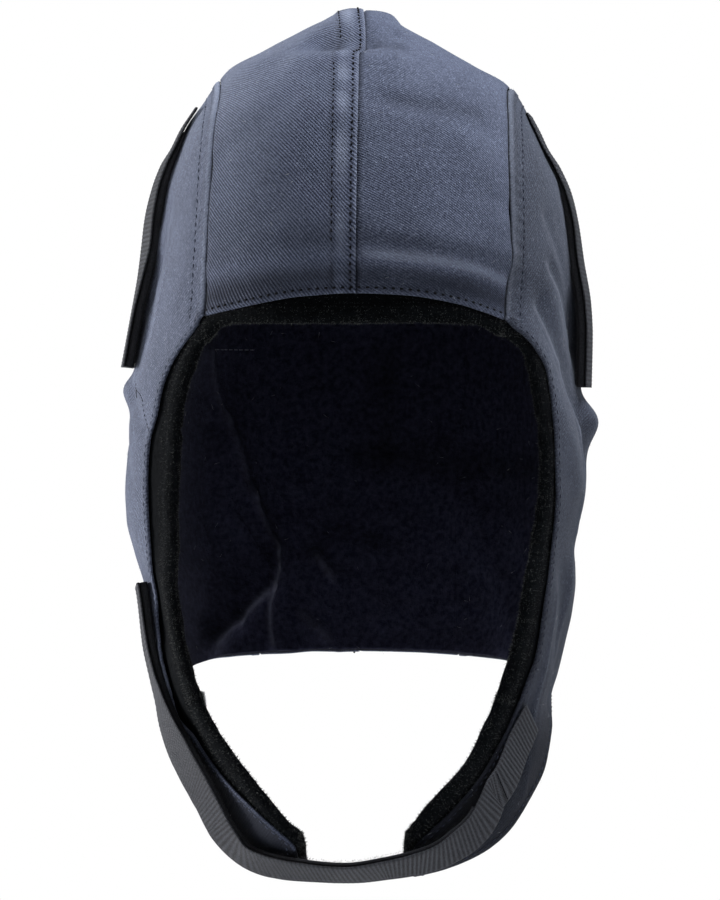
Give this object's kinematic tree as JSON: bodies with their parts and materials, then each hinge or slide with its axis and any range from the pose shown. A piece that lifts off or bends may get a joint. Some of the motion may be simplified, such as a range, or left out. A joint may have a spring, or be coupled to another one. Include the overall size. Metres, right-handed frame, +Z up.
{
  "type": "helmet hood",
  "caption": "Insulated winter hood worn under a hard hat, open at the face and neck, with a fleece lining, helmet straps and a chin strap.",
  "frame": {"origin": "inside the crown, where the top of the wearer's head carries the hood", "axes": "+Z up, +X to the right seen from the front, the face opening looks towards -Y"},
  "size_m": [0.1747, 0.205, 0.3167],
  "materials": {
    "shell_twill": "slate navy cotton twill, matt",
    "lining_fleece": "very dark navy fleece pile",
    "webbing": "ribbed grey webbing",
    "hook_tape": "black hook and loop pile",
    "label_cloth": "bare white woven slip"
  },
  "bodies": {
    "root": {"crown_panel_left": "shell_twill", "crown_panel_right": "shell_twill", "side_panel_left": "shell_twill", "side_panel_right": "shell_twill", "lining_crown": "lining_fleece", "lining_left": "lining_fleece", "lining_right": "lining_fleece", "helmet_strap_left": "webbing", "strap_tape_left": "hook_tape", "helmet_strap_right": "webbing", "strap_tape_right": "hook_tape", "chin_strap": "webbing", "chin_tape": "hook_tape", "care_label": "label_cloth"}
  },
  "joints": []
}
